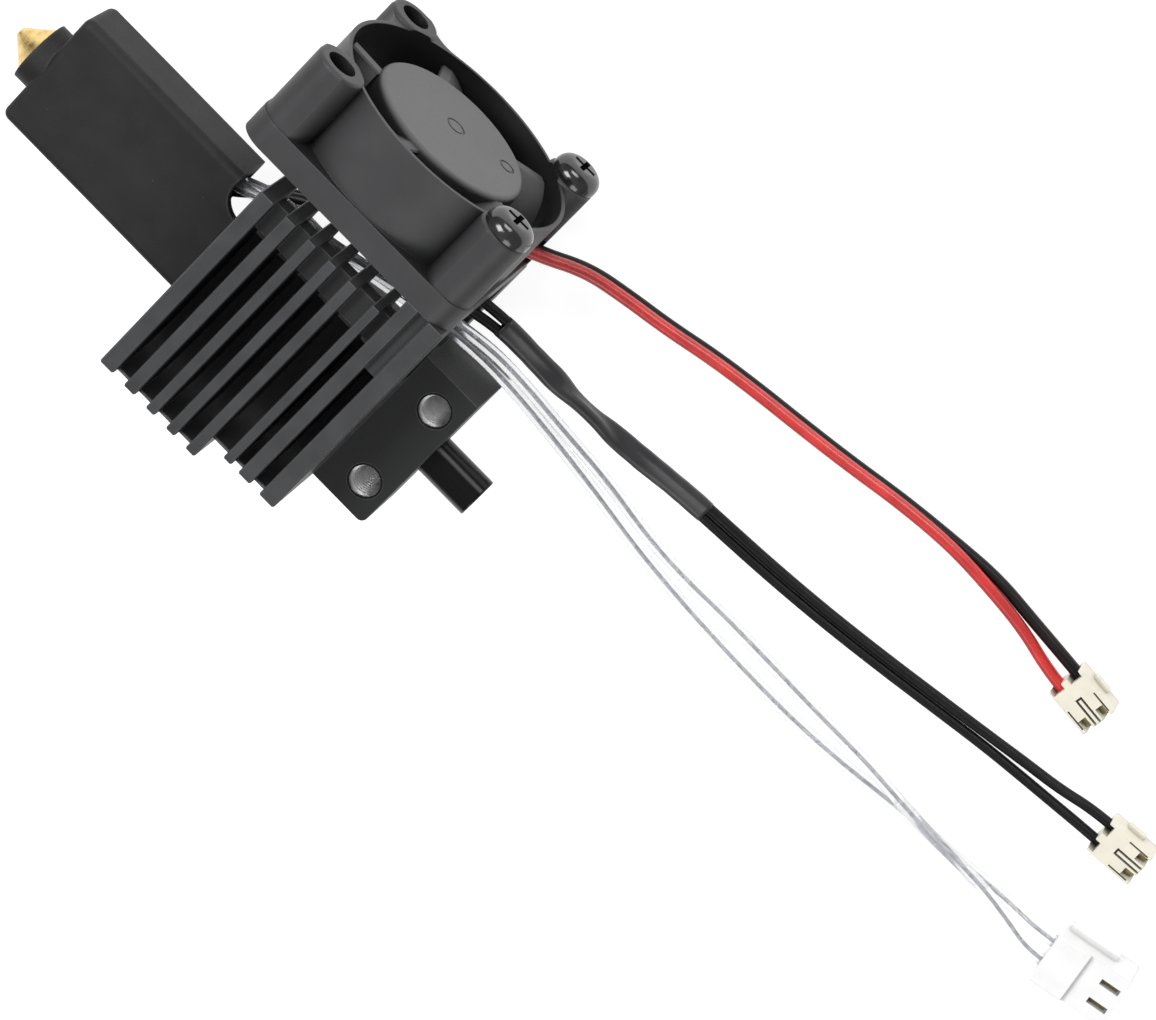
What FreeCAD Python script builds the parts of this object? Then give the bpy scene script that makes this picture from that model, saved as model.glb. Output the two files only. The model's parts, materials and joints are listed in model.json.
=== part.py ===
import FreeCAD, Part
import math
import os

from FreeCAD import Vector

# 3D-printer hotend assembly, lying on its back, in millimetres.
#
# The rigid pieces are drawn in a hotend frame: the filament path is the X axis, the nozzle
# tip is at X = 0, +Y points to the cooling fan and +Z is up. ROW_SHIFT moves them to the
# part's own frame, whose origin is the centre of the object's base. The leads and plugs
# are drawn in the part's own frame, where the floor is z = 0.

# ---- driving dimensions ----
OVERALL_LENGTH = 58.1        # nozzle tip to the end of the inlet tube
FIN_LEFT = -11.0             # fin edge that faces away from the fan
FIN_RIGHT = 11.4             # fin edge that faces the fan
FIN_STEP_LEFT = -9.0         # the last three fins are shorter
HALF_DEPTH = 12.5            # half the depth of the heatsink, and of the fan flange
FINS = [                     # start along the filament path, thickness
    (26.35, 1.60),
    (29.33, 1.30),
    (32.07, 1.05),
    (34.58, 1.05),
    (37.03, 1.10),
    (39.99, 0.95),
    (41.84, 1.45),
    (44.45, 1.75),
]
LONG_FINS = 5                # this many fins reach FIN_LEFT
SHORT_FINS = 6               # fins after this one carry the fan
SLOT_FLOOR = 5.5             # half thickness of the web between the fins
TROUGH_FACE = 5.2            # side of the web, where the wire channel starts
TONGUE = 6.3                 # the fins reach FIN_RIGHT from here to the front
FIN_EDGE = 0.12              # softened fin edges
SHOULDER = (7.9, 11.0, 8.9, 10.8)       # its sides along Y, then along Z
SCREW_BOSS = (8.2, 11.7)     # the two bosses that take the fan screws, along Z
BOSS_BOTTOM = 6.4

BLOCK_END = 52.5             # tube end of the mounting block
BLOCK_HALF_WIDTH = 8.0
BLOCK_HALF_DEPTH = 4.1
BLOCK_CORNER_R = 0.7
INSERT_X = 50.0
INSERT_Y = 4.8
INSERT_OUTER_R = 1.68
INSERT_BORE_R = 1.5

FAN_X = 33.7                 # fan shaft, along the filament path
FAN_BASE = 14.0              # plane where the fan sits on the heatsink
FAN_HALF = 12.5              # half of the 25 mm square
FAN_HOLE = 10.0              # half of the 20 mm hole pitch
FAN_HEIGHT = 10.0
FLANGE = 2.6
BARREL_R = 12.3
BARREL_BORE_R = 11.9
BARREL_TOP = 23.7
LUG_R = 2.6
CORNER_R = 2.5               # rounded corners of the square
LEDGE = 0.15                 # barrel and lugs stand this far in from the flange's edge
HOLLOW_R = 2.8               # rounded hollow where a lug meets the barrel
LUG_HOLE_R = 1.45
HUB_R = 8.1
HUB_TOP = 23.1
HUB_BOTTOM = 17.6
HUB_RINGS = ((33.6, -0.87, 1.0), (39.15, -2.79, 0.8))     # shallow moulded rings
HUB_RING_WIDTH = 0.22
HUB_RING_DEPTH = 0.08
BLADE_TIP_R = 11.35
BLADES = 5
BLADE_START = 31.0           # degrees, turn of the first blade
BLADE_SLANT = 38.0
BLADE_CHORD = 7.6
HUB_BORE_R = 7.3             # inside of the hub, where the magnet sits
HUB_ROOF = 22.3
MAGNET = (6.5, 17.9, 22.0)   # inner radius, bottom, top
BEARING_R = 1.9
BEARING_WALL = 0.3           # of the tube that holds the bearing
STATOR = (17.4, 20.4)        # bottom and top of the iron core
STATOR_R = 6.2
STATOR_BORE_R = 2.2
ARM_HALF = 0.7               # half the width of an iron arm
BOARD_R = 7.2
SHAFT_R = 0.75
SHAFT_FOOT = 14.7
GROOVE = (0.55, 14.9, 15.1)  # retaining groove near the shaft's end: radius, bottom, top
WIRE_EXIT_ANGLE = 23.2       # the fan leads leave between a spoke and the corner lug
WIRE_EXIT_START = (8.55, -5.92)

SCREW_R = 1.25
SCREW_END = 8.4
SCREW_HEAD_R = 2.35
SCREW_HEAD = 1.6
CROSS_LENGTH = 2.3           # cross recess in the screw heads
CROSS_WIDTH = 0.5

NOZZLE_R = 2.6
FILAMENT_R = 1.0
NOZZLE_THREAD_R = 1.4
NOZZLE_END = 11.0            # the nozzle meets the heat break here
BLOCK_FRONT = 4.7            # face of the heater block behind the nozzle
BLOCK_BACK = 18.0
BLOCK_SIDES = (-4.4, 3.6)    # its sides, away from the fan and towards it
BLOCK_HALF = 2.0             # half its depth
HEATER_PLATE = (5.4, 15.4, 3.6, 4.8, -1.9, 1.9)
CLIP_START = 7.5
CLIP_END = 14.0
CLIP_SHEET = 0.25
SENSOR_SIDE = 2.5            # centre of the thermistor, towards the fan
SENSOR_R = 0.75
SENSOR_START = 12.9
BREAK_THREAD_R = 1.3
NECK_R = 1.5                 # heat break between heater block and heatsink
TUBE_R = 2.0
TUBE_START = 40.0            # the inlet tube meets the heat break here

SOCK = (4.0, 26.0, -5.7, 7.0, -3.2, 3.2)
SOCK_WALL_END = 23.5         # the sock is open at the fan side from here on
NOTCH_SIDE = 3.4             # side of the window where the wires leave
NOTCH_CORNER_R = 2.4
SOCK_BACK_SIDE = -0.6        # side of the wider window in its back
SOCK_EDGE = 0.8

FIT = 0.02                   # radial room in a fit between two fixed pieces
WIRE_ROOM = 0.06             # radial room round a wire where it enters its plug

HEATER_WIRE = 1.15
THERMISTOR_WIRE = 1.0
FAN_WIRE = 1.15
SLEEVE_OUTER = 2.6
SLEEVE_INNER = 2.3

SMALL_PLUG = dict(
    length=4.9, width=3.7, height=2.8, pitch=2.0, wire_height=1.4, entry=0.8, notch=0.6,
    rib=(1.5, 3.3), cavity=(0.9, 1.9), cavity_half_width=0.42, contact_start=1.6, contact_wall=0.15,
)
HEATER_PLUG = dict(length=7.8, width=5.4, height=4.8, pitch=2.2, wire_height=2.9, entry=1.0)
# place of each plug's wire side on the table, and its turn in degrees
FAN_PLUG_AT = ((77.14, 16.70, 0.0), -5.0)
THERMISTOR_PLUG_AT = ((89.55, 8.75, 0.0), 5.0)
HEATER_PLUG_AT = ((94.30, -2.60, 0.0), 12.0)

FAN_TOP = FAN_BASE + FAN_HEIGHT
SCREW_TOP = FAN_TOP + SCREW_HEAD
ROW_SHIFT = Vector(-OVERALL_LENGTH / 2, -(FIN_LEFT + SCREW_TOP) / 2, HALF_DEPTH)


# ---- simple solids ----
def box(x0, x1, y0, y1, z0, z1):
    return Part.makeBox(x1 - x0, y1 - y0, z1 - z0, Vector(x0, y0, z0))


def cylinder_x(radius, x0, x1, y=0.0, z=0.0):
    return Part.makeCylinder(radius, x1 - x0, Vector(x0, y, z), Vector(1, 0, 0))


def cylinder_y(radius, y0, y1, x=FAN_X, z=0.0):
    return Part.makeCylinder(radius, y1 - y0, Vector(x, y0, z), Vector(0, 1, 0))


def cylinder_z(radius, z0, z1, x, y):
    return Part.makeCylinder(radius, z1 - z0, Vector(x, y, z0), Vector(0, 0, 1))


def ring_y(outer, inner, y0, y1):
    return cylinder_y(outer, y0, y1).cut(cylinder_y(inner, y0 - 1, y1 + 1))


def plate_x(outline, x0, x1):
    """A flat plate across the filament path, from its (y, z) outline."""
    corners = [Vector(x0, y, z) for y, z in outline]
    face = Part.Face(Part.makePolygon(corners + corners[:1]))
    return face.extrude(Vector(x1 - x0, 0, 0))


def turned_x(outline):
    """A turned piece about the filament path, from its (x, radius) outline."""
    corners = [Vector(x, radius, 0) for x, radius in outline]
    face = Part.Face(Part.makePolygon(corners + corners[:1]))
    return face.revolve(Vector(0, 0, 0), Vector(1, 0, 0), 360)


def edges_where(shape, test):
    return [edge for edge in shape.Edges if test(edge)]


def export(shape, node, in_row_frame=False):
    shape = shape.copy()
    if not in_row_frame:
        shape.translate(ROW_SHIFT)
    if not shape.isValid():
        print("NOT VALID", node)
    shape.exportStep("parts/" + node + ".step")
    print("%-26s %2d solid(s) %9.2f mm3" % (node, len(shape.Solids), shape.Volume))


# ---- hot end ----
def nozzle():
    return turned_x([
        (0.0, 0.2), (0.0, 0.48), (1.7, 2.0), (2.4, NOZZLE_R), (BLOCK_FRONT, NOZZLE_R),
        (BLOCK_FRONT, NOZZLE_THREAD_R - FIT), (NOZZLE_END, NOZZLE_THREAD_R - FIT),
        (NOZZLE_END, FILAMENT_R), (2.6, FILAMENT_R), (1.0, 0.2),
    ])


def heater_block():
    body = box(BLOCK_FRONT, BLOCK_BACK, *BLOCK_SIDES, -BLOCK_HALF, BLOCK_HALF)
    length = BLOCK_BACK - BLOCK_FRONT
    body = body.makeChamfer(0.2, edges_where(body, lambda e: abs(e.Length - length) < 0.01))
    body = body.cut(cylinder_x(NOZZLE_THREAD_R, BLOCK_FRONT - 1, NOZZLE_END))
    body = body.cut(cylinder_x(BREAK_THREAD_R, NOZZLE_END - 0.1, BLOCK_BACK + 1))
    return body.cut(cylinder_x(SENSOR_R + FIT, SENSOR_START - 0.1, BLOCK_BACK + 1, SENSOR_SIDE))


def ceramic_heater():
    plate = box(*HEATER_PLATE)
    return plate.makeChamfer(0.12, plate.Edges)


def heater_clip():
    """A spring strip, bent round the block and the ceramic heater like a C."""
    plate_top = HEATER_PLATE[3]
    reach = BLOCK_HALF + CLIP_SHEET
    outer = box(CLIP_START, CLIP_END, -2.5, plate_top + CLIP_SHEET, -reach, reach)
    bends = edges_where(
        outer,
        lambda e: abs(e.Length - (CLIP_END - CLIP_START)) < 0.01 and e.CenterOfMass.y > plate_top,
    )
    outer = outer.makeFillet(0.24, bends)
    return outer.cut(box(CLIP_START - 1, CLIP_END + 1, -3.0, plate_top, -BLOCK_HALF, BLOCK_HALF))


def thermistor():
    return cylinder_x(SENSOR_R, SENSOR_START, BLOCK_BACK, SENSOR_SIDE)


def heat_break():
    return turned_x([
        (NOZZLE_END, FILAMENT_R), (NOZZLE_END, BREAK_THREAD_R - FIT),
        (BLOCK_BACK, BREAK_THREAD_R - FIT), (BLOCK_BACK, NECK_R),
        (TUBE_START, NECK_R), (TUBE_START, FILAMENT_R),
    ])


def inlet_tube():
    body = cylinder_x(TUBE_R, TUBE_START, OVERALL_LENGTH)
    rim = edges_where(body, lambda e: abs(e.CenterOfMass.x - OVERALL_LENGTH) < 0.01)
    body = body.makeFillet(0.15, rim[:1])
    return body.cut(cylinder_x(FILAMENT_R, TUBE_START - 1, OVERALL_LENGTH + 1))


def silicone_sock():
    x0, x1, y0, y1, z0, z1 = SOCK
    body = box(*SOCK)
    closed = edges_where(body, lambda e: e.CenterOfMass.x < x1 - 0.1)
    body = body.makeFillet(SOCK_EDGE, closed)
    notch = box(SOCK_WALL_END, x1 + 1, NOTCH_SIDE, y1 + 1, z0 - 1, z1 + 1)
    corner = edges_where(
        notch,
        lambda e: abs(e.CenterOfMass.y - NOTCH_SIDE) < 0.01
        and abs(e.CenterOfMass.x - SOCK_WALL_END) < 0.01,
    )
    body = body.cut(notch.makeFillet(NOTCH_CORNER_R, corner))
    body = body.cut(box(SOCK_WALL_END, x1 + 1, SOCK_BACK_SIDE, y1 + 1, z0 - 1, 0.0))
    body = body.fuse(cylinder_x(3.1, 2.4, x0 + 0.5))
    body = body.cut(box(BLOCK_FRONT, x1 + 1, -4.7, 5.9, -2.3, 2.3))
    return body.cut(cylinder_x(NOZZLE_R + 0.05, 2.0, BLOCK_FRONT + 0.5)).removeSplitter()


# ---- heatsink ----
def fin_outline(left):
    return [
        (left, -HALF_DEPTH), (1.0, -HALF_DEPTH), (TROUGH_FACE, -4.1), (TROUGH_FACE, 5.5),
        (7.5, TONGUE), (FIN_RIGHT, TONGUE), (FIN_RIGHT, HALF_DEPTH), (left, HALF_DEPTH),
    ]


def fan_fin_outline():
    """A fin that reaches the fan flange, open in the middle for the wires."""
    return [
        (FIN_STEP_LEFT, -HALF_DEPTH), (FAN_BASE, -HALF_DEPTH), (FAN_BASE, -8.0),
        (7.5, -8.0), (TROUGH_FACE, -5.6), (TROUGH_FACE, 5.6), (7.5, 8.0), (FAN_BASE, 8.0),
        (FAN_BASE, HALF_DEPTH), (FIN_STEP_LEFT, HALF_DEPTH),
    ]


def softened(fin, x0, x1):
    rim = edges_where(
        fin,
        lambda e: min(abs(e.CenterOfMass.x - x0), abs(e.CenterOfMass.x - x1)) < 0.01,
    )
    return fin.makeChamfer(FIN_EDGE, rim)


def web(left, x0, x1):
    """The core between the fins. At the left its two slot floors curve out to the edge."""
    curve_r = 6.5
    start = left + curve_r
    solid = box(x0, x1, left, TROUGH_FACE, -SLOT_FLOOR - curve_r, SLOT_FLOOR + curve_r)
    solid = solid.cut(box(x0 - 1, x1 + 1, start, TROUGH_FACE + 1, SLOT_FLOOR, 20))
    solid = solid.cut(box(x0 - 1, x1 + 1, start, TROUGH_FACE + 1, -20, -SLOT_FLOOR))
    for side in (-1, 1):
        solid = solid.cut(cylinder_x(curve_r, x0 - 1, x1 + 1, start, side * (SLOT_FLOOR + curve_r)))
    return solid


def mounting_block():
    start = FINS[-1][0] + FINS[-1][1]
    block = box(start, BLOCK_END, -BLOCK_HALF_WIDTH, BLOCK_HALF_WIDTH, -BLOCK_HALF_DEPTH,
                BLOCK_HALF_DEPTH)
    corner = edges_where(
        block,
        lambda e: e.CenterOfMass.x > BLOCK_END - 0.01 and e.CenterOfMass.y < -7.9
        and abs(e.CenterOfMass.z) < 0.01,
    )
    block = block.makeFillet(BLOCK_CORNER_R, corner)
    outer = edges_where(block, lambda e: e.BoundBox.XMin > BLOCK_END - 1.3 and abs(e.CenterOfMass.z) > 4.0)
    block = block.makeFillet(0.15, outer)
    for side in (-1, 1):
        block = block.cut(cylinder_z(INSERT_OUTER_R, -5, 5, INSERT_X, side * INSERT_Y))
    return block


def heatsink():
    last = FINS[-1][0] + FINS[-1][1]
    pieces = []
    for index, (start, thickness) in enumerate(FINS):
        if index < LONG_FINS:
            outline = fin_outline(FIN_LEFT)
        elif index < SHORT_FINS:
            outline = fin_outline(FIN_STEP_LEFT)
        else:
            outline = fan_fin_outline()
        pieces.append(softened(plate_x(outline, start, start + thickness), start, start + thickness))
    overlap = 0.3
    step = FINS[LONG_FINS - 1][0] + FINS[LONG_FINS - 1][1]
    pieces.append(web(FIN_LEFT + 0.4, FINS[0][0] + overlap, step - overlap))
    pieces.append(web(FIN_STEP_LEFT + 0.4, step - overlap, last - overlap))
    # a low shoulder ties the fins together beside the fan, and two bosses take its screws
    shoulder_end = FINS[SHORT_FINS][0] + overlap
    pieces.append(box(FINS[0][0] + overlap, shoulder_end, *SHOULDER))
    for side in (-1, 1):
        low, high = sorted(side * edge for edge in SCREW_BOSS)
        pieces.append(box(FINS[SHORT_FINS][0] + overlap, last - overlap, BOSS_BOTTOM, FAN_BASE, low, high))
    pieces.append(mounting_block())
    body = pieces[0].multiFuse(pieces[1:])
    body = body.cut(cylinder_x(NECK_R + FIT, 20, TUBE_START + 0.1))
    body = body.cut(cylinder_x(TUBE_R + FIT, TUBE_START, 60))
    for side in (-1, 1):
        hole = cylinder_y(SCREW_R + FIT, SCREW_END - 0.8, FAN_TOP, FAN_X + FAN_HOLE, side * FAN_HOLE)
        body = body.cut(hole)
    return body.removeSplitter()


def thread_inserts():
    solids = []
    for side in (-1, 1):
        y = side * INSERT_Y
        sleeve = cylinder_z(INSERT_OUTER_R, -BLOCK_HALF_DEPTH, BLOCK_HALF_DEPTH, INSERT_X, y)
        solids.append(sleeve.cut(cylinder_z(INSERT_BORE_R, -5, 5, INSERT_X, y)))
    return Part.makeCompound(solids)


# ---- cooling fan, its shaft along Y through FAN_X ----
def rounded_square(half, radius, y0, y1):
    """A square prism on the fan's base, with its four upright corners rounded."""
    prism = box(FAN_X - half, FAN_X + half, y0, y1, -half, half)
    upright = edges_where(prism, lambda e: abs(e.Length - (y1 - y0)) < 0.001)
    return prism.makeFillet(radius, upright)


def lug_centres():
    return [(FAN_X + sx * FAN_HOLE, sz * FAN_HOLE) for sx in (-1, 1) for sz in (-1, 1)]


def exit_box(length, width, y0, y1, start=0.0):
    """A bar that follows the fan leads from the motor out past the barrel wall."""
    bar = box(start, start + length, y0, y1, -width / 2, width / 2)
    bar.rotate(Vector(0, 0, 0), Vector(0, 1, 0), WIRE_EXIT_ANGLE)
    bar.translate(Vector(FAN_X + WIRE_EXIT_START[0], 0, WIRE_EXIT_START[1]))
    return bar


def barrel_outline():
    """The barrel and its four lugs, seen along the shaft, with a rounded hollow at each join."""
    up = Vector(0, 1, 0)
    face = Part.Face(Part.Wire(Part.makeCircle(BARREL_R, Vector(FAN_X, FAN_BASE, 0), up)))
    for x, z in lug_centres():
        face = face.fuse(Part.Face(Part.Wire(Part.makeCircle(LUG_R, Vector(x, FAN_BASE, z), up))))
    grown = face.removeSplitter().Faces[0].makeOffset2D(HOLLOW_R)
    return grown.Faces[0].makeOffset2D(-HOLLOW_R).Faces[0]


def fan_frame():
    outline = rounded_square(FAN_HALF - LEDGE, CORNER_R - LEDGE, FAN_BASE, FAN_TOP)
    barrel = barrel_outline().extrude(Vector(0, BARREL_TOP - FAN_BASE, 0)).common(outline)
    body = rounded_square(FAN_HALF, CORNER_R, FAN_BASE, FAN_BASE + FLANGE).fuse(barrel)
    for x, z in lug_centres():
        lug = cylinder_y(LUG_R, FAN_BASE, FAN_TOP, x, z).common(outline)
        lug = lug.makeFillet(0.35, edges_where(lug, lambda e: e.BoundBox.YMin > FAN_TOP - 0.01))
        body = body.fuse(lug)
    body = body.cut(cylinder_y(BARREL_BORE_R, FAN_BASE - 1, FAN_TOP + 1))
    # motor plate, four spokes, and a wider spoke under the leads
    body = body.fuse(cylinder_y(HUB_R, FAN_BASE, FAN_BASE + 1.0))
    for angle in (45, 135, 225):
        spoke = box(HUB_R - 0.6, BARREL_R - 0.1, FAN_BASE, FAN_BASE + 1.3, -0.6, 0.6)
        spoke.rotate(Vector(0, 0, 0), Vector(0, 1, 0), angle)
        spoke.translate(Vector(FAN_X, 0, 0))
        body = body.fuse(spoke)
    body = body.fuse(exit_box(4.7, 3.0, FAN_BASE, FAN_BASE + 1.8, -2.9))
    body = body.fuse(cylinder_y(BEARING_R + BEARING_WALL, FAN_BASE, STATOR[1] + 0.5))
    body = body.cut(cylinder_y(BEARING_R + FIT, FAN_BASE + 0.5, STATOR[1] + 1))
    for x, z in lug_centres():
        body = body.cut(cylinder_y(LUG_HOLE_R, FAN_BASE - 1, FAN_TOP + 1, x, z))
    body = body.cut(exit_box(7.0, 2.75, FAN_BASE + 1.8, FAN_BASE + 4.4, 0.0))
    return body.removeSplitter()


def fan_blade(angle):
    """A cambered blade: a curved strip, set at a slant, standing out from the hub."""
    camber, thick = 0.8, 0.55
    middle = (HUB_BOTTOM + HUB_TOP - 0.4) / 2
    slant = math.radians(BLADE_SLANT)
    along = Vector(0, math.sin(slant), -math.cos(slant))
    across = Vector(0, math.cos(slant), math.sin(slant))
    foot = Vector(HUB_R - 0.5, middle, 0)
    ends = [foot - along * (BLADE_CHORD / 2), foot + along * (BLADE_CHORD / 2)]
    lower = Part.Arc(ends[0], foot + across * camber, ends[1]).toShape()
    shift = across * thick
    upper = Part.Arc(ends[1] + shift, foot + across * (camber + thick), ends[0] + shift).toShape()
    sides = [
        Part.LineSegment(ends[1], ends[1] + shift).toShape(),
        Part.LineSegment(ends[0] + shift, ends[0]).toShape(),
    ]
    strip = Part.Face(Part.Wire([lower, sides[0], upper, sides[1]])).extrude(Vector(6, 0, 0))
    strip.rotate(Vector(0, 0, 0), Vector(0, 1, 0), angle)
    strip.translate(Vector(FAN_X, 0, 0))
    limit = ring_y(BLADE_TIP_R, HUB_R - 0.3, HUB_BOTTOM, HUB_TOP - 0.4)
    return strip.common(limit)


def fan_rotor():
    hub = cylinder_y(HUB_R, HUB_BOTTOM, HUB_TOP)
    rim = edges_where(hub, lambda e: abs(e.CenterOfMass.y - HUB_TOP) < 0.01 and e.Length > 10)
    hub = hub.makeFillet(0.5, rim)
    hub = hub.cut(cylinder_y(HUB_BORE_R, HUB_BOTTOM - 1, HUB_ROOF))
    hub = hub.fuse(cylinder_y(1.8, HUB_ROOF - 0.9, HUB_ROOF + 0.1))
    for x, z, radius in HUB_RINGS:
        hub = hub.cut(cylinder_y(radius, HUB_TOP - HUB_RING_DEPTH, HUB_TOP + 1, x, z).cut(
            cylinder_y(radius - HUB_RING_WIDTH, HUB_TOP - 1, HUB_TOP + 2, x, z)))
    for index in range(BLADES):
        hub = hub.fuse(fan_blade(BLADE_START + 360.0 * index / BLADES))
    return hub.cut(cylinder_y(SHAFT_R, 17, HUB_ROOF + 0.2))


def fan_shaft():
    shaft = cylinder_y(SHAFT_R, SHAFT_FOOT, HUB_ROOF + 0.2)
    return shaft.cut(ring_y(SHAFT_R + 0.2, *GROOVE))


def fan_retaining_clip():
    clip = ring_y(1.45, *GROOVE)
    return clip.cut(box(FAN_X, FAN_X + 2, GROOVE[1] - 1, GROOVE[2] + 1, -0.3, 0.3))


def fan_magnet():
    return ring_y(HUB_BORE_R, *MAGNET)


def stator_arm(angle, half_width, y0, y1, r0, r1):
    arm = box(r0, r1, y0, y1, -half_width, half_width)
    arm.rotate(Vector(0, 0, 0), Vector(0, 1, 0), angle)
    arm.translate(Vector(FAN_X, 0, 0))
    return arm


def fan_stator_core():
    core = ring_y(3.0, STATOR_BORE_R, *STATOR)
    limit = cylinder_y(STATOR_R, STATOR[0] - 1, STATOR[1] + 1)
    for angle in (0, 90, 180, 270):
        core = core.fuse(stator_arm(angle, ARM_HALF, *STATOR, 2.6, 6.0))
        core = core.fuse(stator_arm(angle, 2.6, *STATOR, 5.4, 6.5).common(limit))
    return core.removeSplitter()


def fan_windings():
    coils = []
    for angle in (0, 90, 180, 270):
        coil = stator_arm(angle, 1.5, STATOR[0] - 0.7, STATOR[1] + 0.7, 3.1, 5.3)
        coils.append(coil.cut(stator_arm(angle, ARM_HALF, *STATOR, 3.0, 5.4)))
    return Part.makeCompound(coils)


def fan_screws():
    screws = []
    for side in (-1, 1):
        x, z = FAN_X + FAN_HOLE, side * FAN_HOLE
        head = cylinder_y(SCREW_HEAD_R, FAN_TOP, SCREW_TOP, x, z)
        rim = edges_where(head, lambda e: abs(e.CenterOfMass.y - SCREW_TOP) < 0.01 and e.Length > 9)
        head = head.makeFillet(1.25, rim)
        for half_x, half_z in ((CROSS_LENGTH / 2, CROSS_WIDTH / 2), (CROSS_WIDTH / 2, CROSS_LENGTH / 2)):
            head = head.cut(box(x - half_x, x + half_x, SCREW_TOP - 1.0, SCREW_TOP + 1,
                                z - half_z, z + half_z))
        screws.append(head.fuse(cylinder_y(SCREW_R, SCREW_END, FAN_TOP + 0.1, x, z)).removeSplitter())
    return Part.makeCompound(screws)


# ---- leads, in the part's own frame ----
def lead_path(points):
    """Straight runs joined by tangent arcs, each as large as its two runs allow."""
    points = [Vector(*point) for point in points]
    edges, radii = [], []
    start = points[0]
    for before, corner, after in zip(points, points[1:], points[2:]):
        to_corner = corner - before
        from_corner = after - corner
        turn = to_corner.getAngle(from_corner)
        reach = 0.45 * min(to_corner.Length, from_corner.Length)
        radii.append(reach / math.tan(turn / 2))
        arc_start = corner - to_corner.normalize() * reach
        arc_end = corner + from_corner.normalize() * reach
        bisector = (arc_start + arc_end) * 0.5 - corner
        inset = radii[-1] * (1 / math.cos(turn / 2) - 1)
        middle = corner + bisector.normalize() * inset
        edges.append(Part.LineSegment(start, arc_start).toShape())
        edges.append(Part.Arc(arc_start, middle, arc_end).toShape())
        start = arc_end
    edges.append(Part.LineSegment(start, points[-1]).toShape())
    return Part.Wire(edges), radii


def tube(name, points, diameter):
    path, radii = lead_path(points)
    direction = Vector(*points[1]) - Vector(*points[0])
    section = Part.Wire(Part.makeCircle(diameter / 2, Vector(*points[0]), direction))
    solid = Part.Solid(path.makePipeShell([section], True, False))
    expected = path.Length * math.pi * diameter ** 2 / 4
    print("%-20s length %6.2f  least radius %5.2f (%.1f diameters)  volume ratio %.4f" % (
        name, path.Length, min(radii), min(radii) / diameter, solid.Volume / expected))
    return solid


HEATER_ROUTE_A = [
    (-13.65, -3.10, 11.85), (-7.05, -3.10, 11.85), (-2.80, -0.95, 11.80),
    (2.60, -0.75, 11.60), (9.00, 0.10, 11.40), (15.50, 1.55, 11.15),
    (20.50, 1.90, 10.70), (25.00, 1.20, 9.50), (30.00, -0.40, 6.90),
    (36.00, -2.70, 3.30), (42.00, -4.60, 1.10), (47.00, -5.30, 0.60),
    (52.50, -5.60, 0.59), (58.50, -5.75, 0.58), (64.50, -5.65, 0.59),
    (70.00, -5.15, 0.58), (74.50, -4.50, 0.59), (79.00, -3.95, 0.60),
    (82.80, -3.60, 0.75), (86.20, -3.00, 1.15), (89.30, -2.45, 1.80),
    (92.40, -1.87, 2.90), (95.05, -1.31, 2.90),
]
HEATER_ROUTE_B = [
    (-13.65, -3.10, 13.15), (-7.05, -3.10, 13.15), (-2.40, -1.05, 13.20),
    (2.60, -0.30, 12.90), (9.00, 1.00, 12.50), (15.50, 2.60, 11.80),
    (20.50, 3.15, 11.00), (25.00, 2.45, 9.60), (30.00, 0.85, 6.90),
    (36.00, -1.10, 3.30), (42.00, -3.05, 1.10), (47.00, -3.55, 0.60),
    (52.50, -3.35, 0.59), (58.50, -3.40, 0.58), (64.50, -3.50, 0.59),
    (70.50, -3.31, 0.85), (75.50, -3.38, 1.45), (79.50, -3.34, 1.95),
    (83.20, -3.12, 2.15), (86.60, -3.10, 2.42), (89.90, -3.45, 2.75),
    (93.10, -3.98, 2.90), (95.50, -3.47, 2.90),
]
THERMISTOR_ROUTE_A = [
    (-11.05, -4.80, 13.05), (-8.60, -4.80, 13.05), (-6.00, -3.95, 12.28),
    (-3.80, -2.30, 10.78), (0.40, 0.90, 10.40), (5.20, 2.40, 11.50),
    (9.80, 3.20, 12.40), (15.00, 4.10, 11.60), (19.60, 4.55, 9.95),
    (24.50, 4.05, 8.30), (30.00, 3.02, 5.60), (36.00, 2.30, 3.00),
    (41.50, 2.15, 1.50), (46.50, 2.20, 0.85), (52.00, 2.45, 0.53),
    (58.00, 3.05, 0.51), (64.50, 3.95, 0.52), (71.00, 5.00, 0.51),
    (76.80, 5.95, 0.52), (81.00, 6.55, 0.75), (84.60, 7.08, 1.08),
    (87.95, 7.60, 1.40), (90.34, 7.81, 1.40),
]
THERMISTOR_ROUTE_B = [
    (-11.05, -4.80, 11.95), (-8.60, -4.80, 11.95), (-6.00, -4.00, 11.13),
    (-3.90, -2.30, 9.62), (0.20, 0.60, 9.20), (5.50, 1.50, 9.30),
    (10.40, 3.70, 9.90), (15.00, 5.20, 10.35), (19.60, 5.65, 9.85),
    (24.50, 5.11, 8.30), (30.00, 4.08, 5.60), (36.00, 3.36, 3.00),
    (41.50, 3.21, 1.50), (46.50, 3.26, 0.85), (52.00, 3.51, 0.53),
    (58.00, 4.11, 0.51), (64.50, 5.01, 0.52), (71.00, 6.07, 0.51),
    (76.80, 7.05, 0.52), (80.60, 7.80, 0.72), (84.20, 8.50, 1.05),
    (87.77, 9.60, 1.40), (90.16, 9.81, 1.40),
]
SLEEVE_ROUTE = [
    (19.60, 5.10, 9.90), (24.50, 4.58, 8.30), (30.00, 3.55, 5.60), (36.00, 2.83, 3.00),
    (41.50, 2.68, 1.50), (44.60, 2.70, 1.36),
]
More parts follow.
